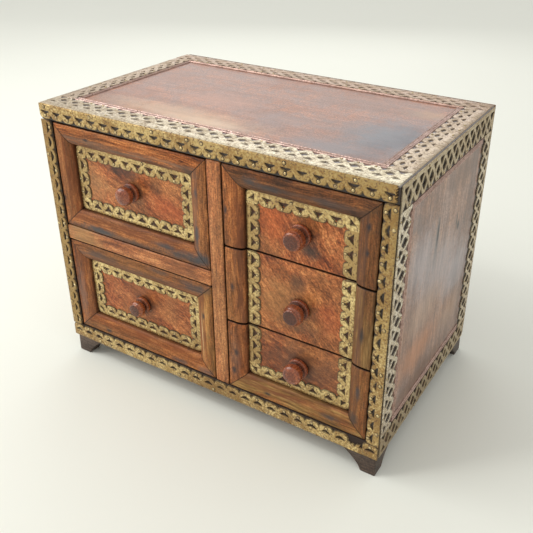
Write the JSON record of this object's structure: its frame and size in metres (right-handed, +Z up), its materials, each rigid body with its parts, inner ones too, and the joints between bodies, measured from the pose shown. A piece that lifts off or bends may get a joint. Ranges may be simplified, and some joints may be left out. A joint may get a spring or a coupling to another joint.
{
  "type": "tabletop chest of drawers",
  "caption": "Small boarded hardwood chest with sliding drawers in two columns, turned knobs, mitred mouldings, bracket feet and pierced brass strips along its edges.",
  "frame": {"origin": "on the floor under the middle of the chest's bounding box, knobs included", "axes": "+X to the chest's right seen from its front, +Y from its front to its back, +Z up"},
  "size_m": [0.4022, 0.2606, 0.3121],
  "materials": {
    "case_wood": "worn satin red-brown hardwood",
    "front_wood": "worn satin red-brown hardwood",
    "inner_wood": "bare sawn wood",
    "foot_wood": "dark stained wood",
    "knob_wood": "polished turned hardwood",
    "strip_brass": "aged yellow brass sheet",
    "lattice_brass": "pale worn brass sheet"
  },
  "bodies": {
    "case": {"top_board": "case_wood", "bottom_board": "case_wood", "left_side": "case_wood", "right_side": "case_wood", "back_panel": "case_wood", "centre_divider": "case_wood", "left_rail": "case_wood", "right_shelf_lower": "inner_wood", "right_shelf_upper": "inner_wood", "foot_front_left": "foot_wood", "foot_front_right": "foot_wood", "foot_rear_left": "foot_wood", "foot_rear_right": "foot_wood", "brass_front_frame": "strip_brass", "brass_top_frame": "lattice_brass", "brass_left_frame": "lattice_brass", "brass_right_frame": "lattice_brass"},
    "left_upper_drawer": {"left_upper_front_panel": "front_wood", "left_upper_moulding": "front_wood", "left_upper_brass_border": "strip_brass", "left_upper_knob": "knob_wood", "left_upper_bottom": "inner_wood", "left_upper_left_side": "inner_wood", "left_upper_right_side": "inner_wood", "left_upper_back": "inner_wood"},
    "left_lower_drawer": {"left_lower_front_panel": "front_wood", "left_lower_moulding": "front_wood", "left_lower_brass_border": "strip_brass", "left_lower_knob": "knob_wood", "left_lower_bottom": "inner_wood", "left_lower_left_side": "inner_wood", "left_lower_right_side": "inner_wood", "left_lower_back": "inner_wood"},
    "right_upper_drawer": {"right_upper_front_panel": "front_wood", "right_upper_moulding": "front_wood", "right_upper_brass_border": "strip_brass", "right_upper_knob": "knob_wood", "right_upper_bottom": "inner_wood", "right_upper_left_side": "inner_wood", "right_upper_right_side": "inner_wood", "right_upper_back": "inner_wood"},
    "right_middle_drawer": {"right_middle_front_panel": "front_wood", "right_middle_moulding_left": "front_wood", "right_middle_moulding_right": "front_wood", "right_middle_brass_border_left": "strip_brass", "right_middle_brass_border_right": "strip_brass", "right_middle_knob": "knob_wood", "right_middle_bottom": "inner_wood", "right_middle_left_side": "inner_wood", "right_middle_right_side": "inner_wood", "right_middle_back": "inner_wood"},
    "right_lower_drawer": {"right_lower_front_panel": "front_wood", "right_lower_moulding": "front_wood", "right_lower_brass_border": "strip_brass", "right_lower_knob": "knob_wood", "right_lower_bottom": "inner_wood", "right_lower_left_side": "inner_wood", "right_lower_right_side": "inner_wood", "right_lower_back": "inner_wood"}
  },
  "joints": [
    {"name": "left_upper_slide", "type": "slide", "parent": "case", "child": "left_upper_drawer", "axis": [0, -1, 0], "range_m": [0, 0.15]},
    {"name": "left_lower_slide", "type": "slide", "parent": "case", "child": "left_lower_drawer", "axis": [0, -1, 0], "range_m": [0, 0.15]},
    {"name": "right_upper_slide", "type": "slide", "parent": "case", "child": "right_upper_drawer", "axis": [0, -1, 0], "range_m": [0, 0.15]},
    {"name": "right_middle_slide", "type": "slide", "parent": "case", "child": "right_middle_drawer", "axis": [0, -1, 0], "range_m": [0, 0.15]},
    {"name": "right_lower_slide", "type": "slide", "parent": "case", "child": "right_lower_drawer", "axis": [0, -1, 0], "range_m": [0, 0.15]}
  ]
}
